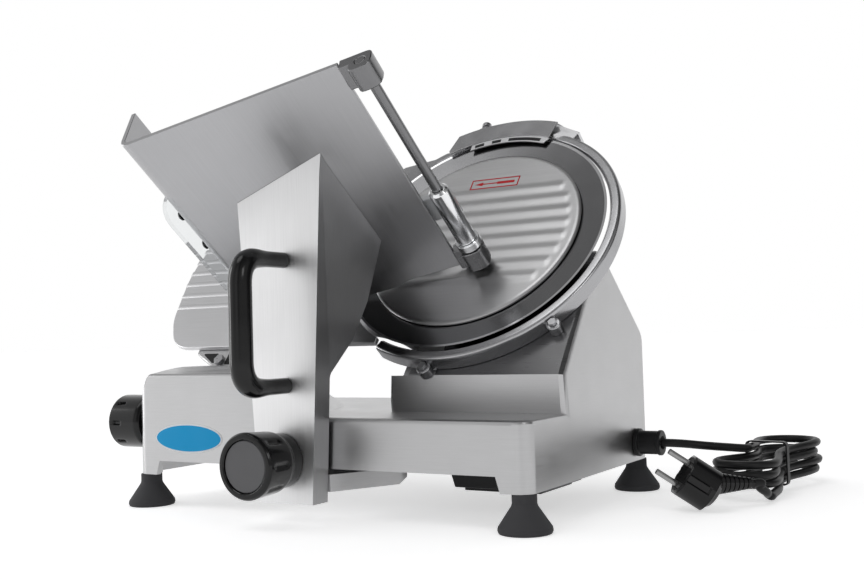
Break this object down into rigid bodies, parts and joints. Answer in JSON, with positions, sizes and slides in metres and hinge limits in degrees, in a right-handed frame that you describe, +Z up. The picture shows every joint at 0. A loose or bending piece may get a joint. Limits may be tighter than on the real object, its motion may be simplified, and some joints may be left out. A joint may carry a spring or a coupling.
{
  "type": "gravity-feed meat slicer",
  "caption": "Electric gravity-feed food slicer with an inclined round blade, sliding food tray with pusher, thickness gauge plate and knob, and a coiled mains cord.",
  "frame": {"origin": "middle of the underside of the machine, on the plane of its feet, the mains cord left out", "axes": "+X along the base away from the operator's end, +Y from the carriage side to the motor side, +Z up"},
  "size_m": [0.5818, 0.4576, 0.3568],
  "materials": {
    "cast_aluminium": "anodised cast aluminium",
    "arm_panel": "bright anodised aluminium",
    "polished_steel": "polished stainless steel",
    "steel": "machined steel",
    "black_plastic": "gloss black",
    "grey_plastic": "satin grey",
    "black_rubber": "matt black",
    "clear_plastic": "clear acrylic",
    "abrasive": "fine abrasive",
    "red_plastic": "red",
    "green_plastic": "green"
  },
  "bodies": {
    "machine": {"motor": "steel", "drive_belt": "black_rubber", "blade_bearing": "steel", "blade_cover": "cast_aluminium", "ring_guard": "cast_aluminium", "ring_screw_right": "steel", "ring_screw_left": "steel", "sharpener_body": "cast_aluminium", "sharpener_hood": "cast_aluminium", "hood_screw": "steel", "slice_deflector": "polished_steel", "base_casting": "cast_aluminium", "foot_front_left": "black_rubber", "foot_front_right": "black_rubber", "foot_rear_left": "black_rubber", "foot_rear_right": "black_rubber", "electrical_cover": "black_plastic", "switch_plate": "black_plastic", "slide_rod": "polished_steel", "guide_bar": "steel", "cord_gland": "black_plastic", "cord_hank": "black_rubber", "power_cord": "black_rubber", "plug_body": "black_plastic", "plug_pin_left": "polished_steel", "plug_pin_right": "polished_steel", "plug_lead": "black_rubber", "cord_tie": "black_plastic"},
    "blade_set": {"blade": "polished_steel", "blade_hub": "steel", "blade_pulley": "steel"},
    "motor_rotor": {"motor_pulley": "steel"},
    "cover_lock": {"cover_knob": "black_plastic"},
    "grinder": {"grinding_stone": "abrasive"},
    "honer": {"honing_stone": "abrasive"},
    "gauge": {"gauge_plate": "cast_aluminium", "gauge_support": "cast_aluminium", "gauge_bolt_left": "steel", "gauge_bolt_right": "steel"},
    "dial": {"thickness_knob": "black_plastic"},
    "off_switch": {"off_button": "red_plastic"},
    "on_switch": {"on_button": "green_plastic"},
    "carriage": {"carriage_runner": "steel", "carriage_foot": "cast_aluminium", "carriage_arm": "arm_panel", "d_handle": "black_plastic", "food_tray": "cast_aluminium", "pusher_rod": "polished_steel", "rod_clamp_high": "cast_aluminium", "rod_clamp_low": "cast_aluminium", "hand_guard": "clear_plastic", "guard_screw_high": "black_plastic", "guard_screw_low": "black_plastic"},
    "arm_lock": {"lock_knob": "black_plastic"},
    "pusher_slider": {"pusher_collar": "steel"},
    "pusher_arm": {"pusher": "grey_plastic", "pusher_grip": "black_plastic"}
  },
  "joints": [
    {"name": "carriage_slide", "type": "slide", "parent": "machine", "child": "carriage", "axis": [1, 0, 0], "range_m": [-0.095, 0.105]},
    {"name": "pusher_slide", "type": "slide", "parent": "carriage", "child": "pusher_slider", "axis": [0, -0.7854, 0.619], "range_m": [0, 0.112]},
    {"name": "pusher_swing", "type": "hinge", "parent": "pusher_slider", "child": "pusher_arm", "pos_m": [0.11614, -0.01895, 0.24183], "axis": [0, 0.7854, -0.619], "range_deg": [0, 150]},
    {"name": "lock_knob_turn", "type": "hinge", "parent": "carriage", "child": "arm_lock", "pos_m": [0.002, -0.1327, 0.0495], "axis": [0, -1, 0], "range_deg": [-90, 90]},
    {"name": "thickness_turn", "type": "hinge", "parent": "machine", "child": "dial", "pos_m": [-0.199, -0.0647, 0.074], "axis": [-1, 0, 0], "range_deg": [0, 300]},
    {"name": "gauge_slide", "type": "slide", "parent": "machine", "child": "gauge", "axis": [0, 0.7854, -0.619], "range_m": [0, 0.015]},
    {"name": "blade_spin", "type": "hinge", "parent": "machine", "child": "blade_set", "pos_m": [0.094, 0.0519, 0.2348], "axis": [0, 0.7854, -0.619], "continuous": true},
    {"name": "motor_spin", "type": "hinge", "parent": "machine", "child": "motor_rotor", "pos_m": [0.149, 0.03504, 0.14878], "axis": [0, 0.7854, -0.619], "continuous": true},
    {"name": "cover_knob_turn", "type": "hinge", "parent": "machine", "child": "cover_lock", "pos_m": [0.094, 0.0519, 0.2348], "axis": [0, 0.7854, -0.619], "range_deg": [-180, 180]},
    {"name": "grinding_stone_press", "type": "slide", "parent": "machine", "child": "grinder", "axis": [0, -0.7854, 0.619], "range_m": [0, 0.0015], "stiffness_N_per_m": 800, "springref_m": -0.002},
    {"name": "honing_stone_press", "type": "slide", "parent": "machine", "child": "honer", "axis": [0, 0.7854, -0.619], "range_m": [0, 0.0015], "stiffness_N_per_m": 800, "springref_m": -0.002},
    {"name": "off_button_press", "type": "slide", "parent": "machine", "child": "off_switch", "axis": [1, 0, 0], "range_m": [0, 0.003], "stiffness_N_per_m": 400, "springref_m": -0.001},
    {"name": "on_button_press", "type": "slide", "parent": "machine", "child": "on_switch", "axis": [1, 0, 0], "range_m": [0, 0.003], "stiffness_N_per_m": 400, "springref_m": -0.001}
  ],
  "couplings": [
    {"joint": "thickness_turn", "follows": "gauge_slide", "rad_per_m": 349},
    {"joint": "motor_spin", "follows": "blade_spin", "ratio": 2.5}
  ]
}
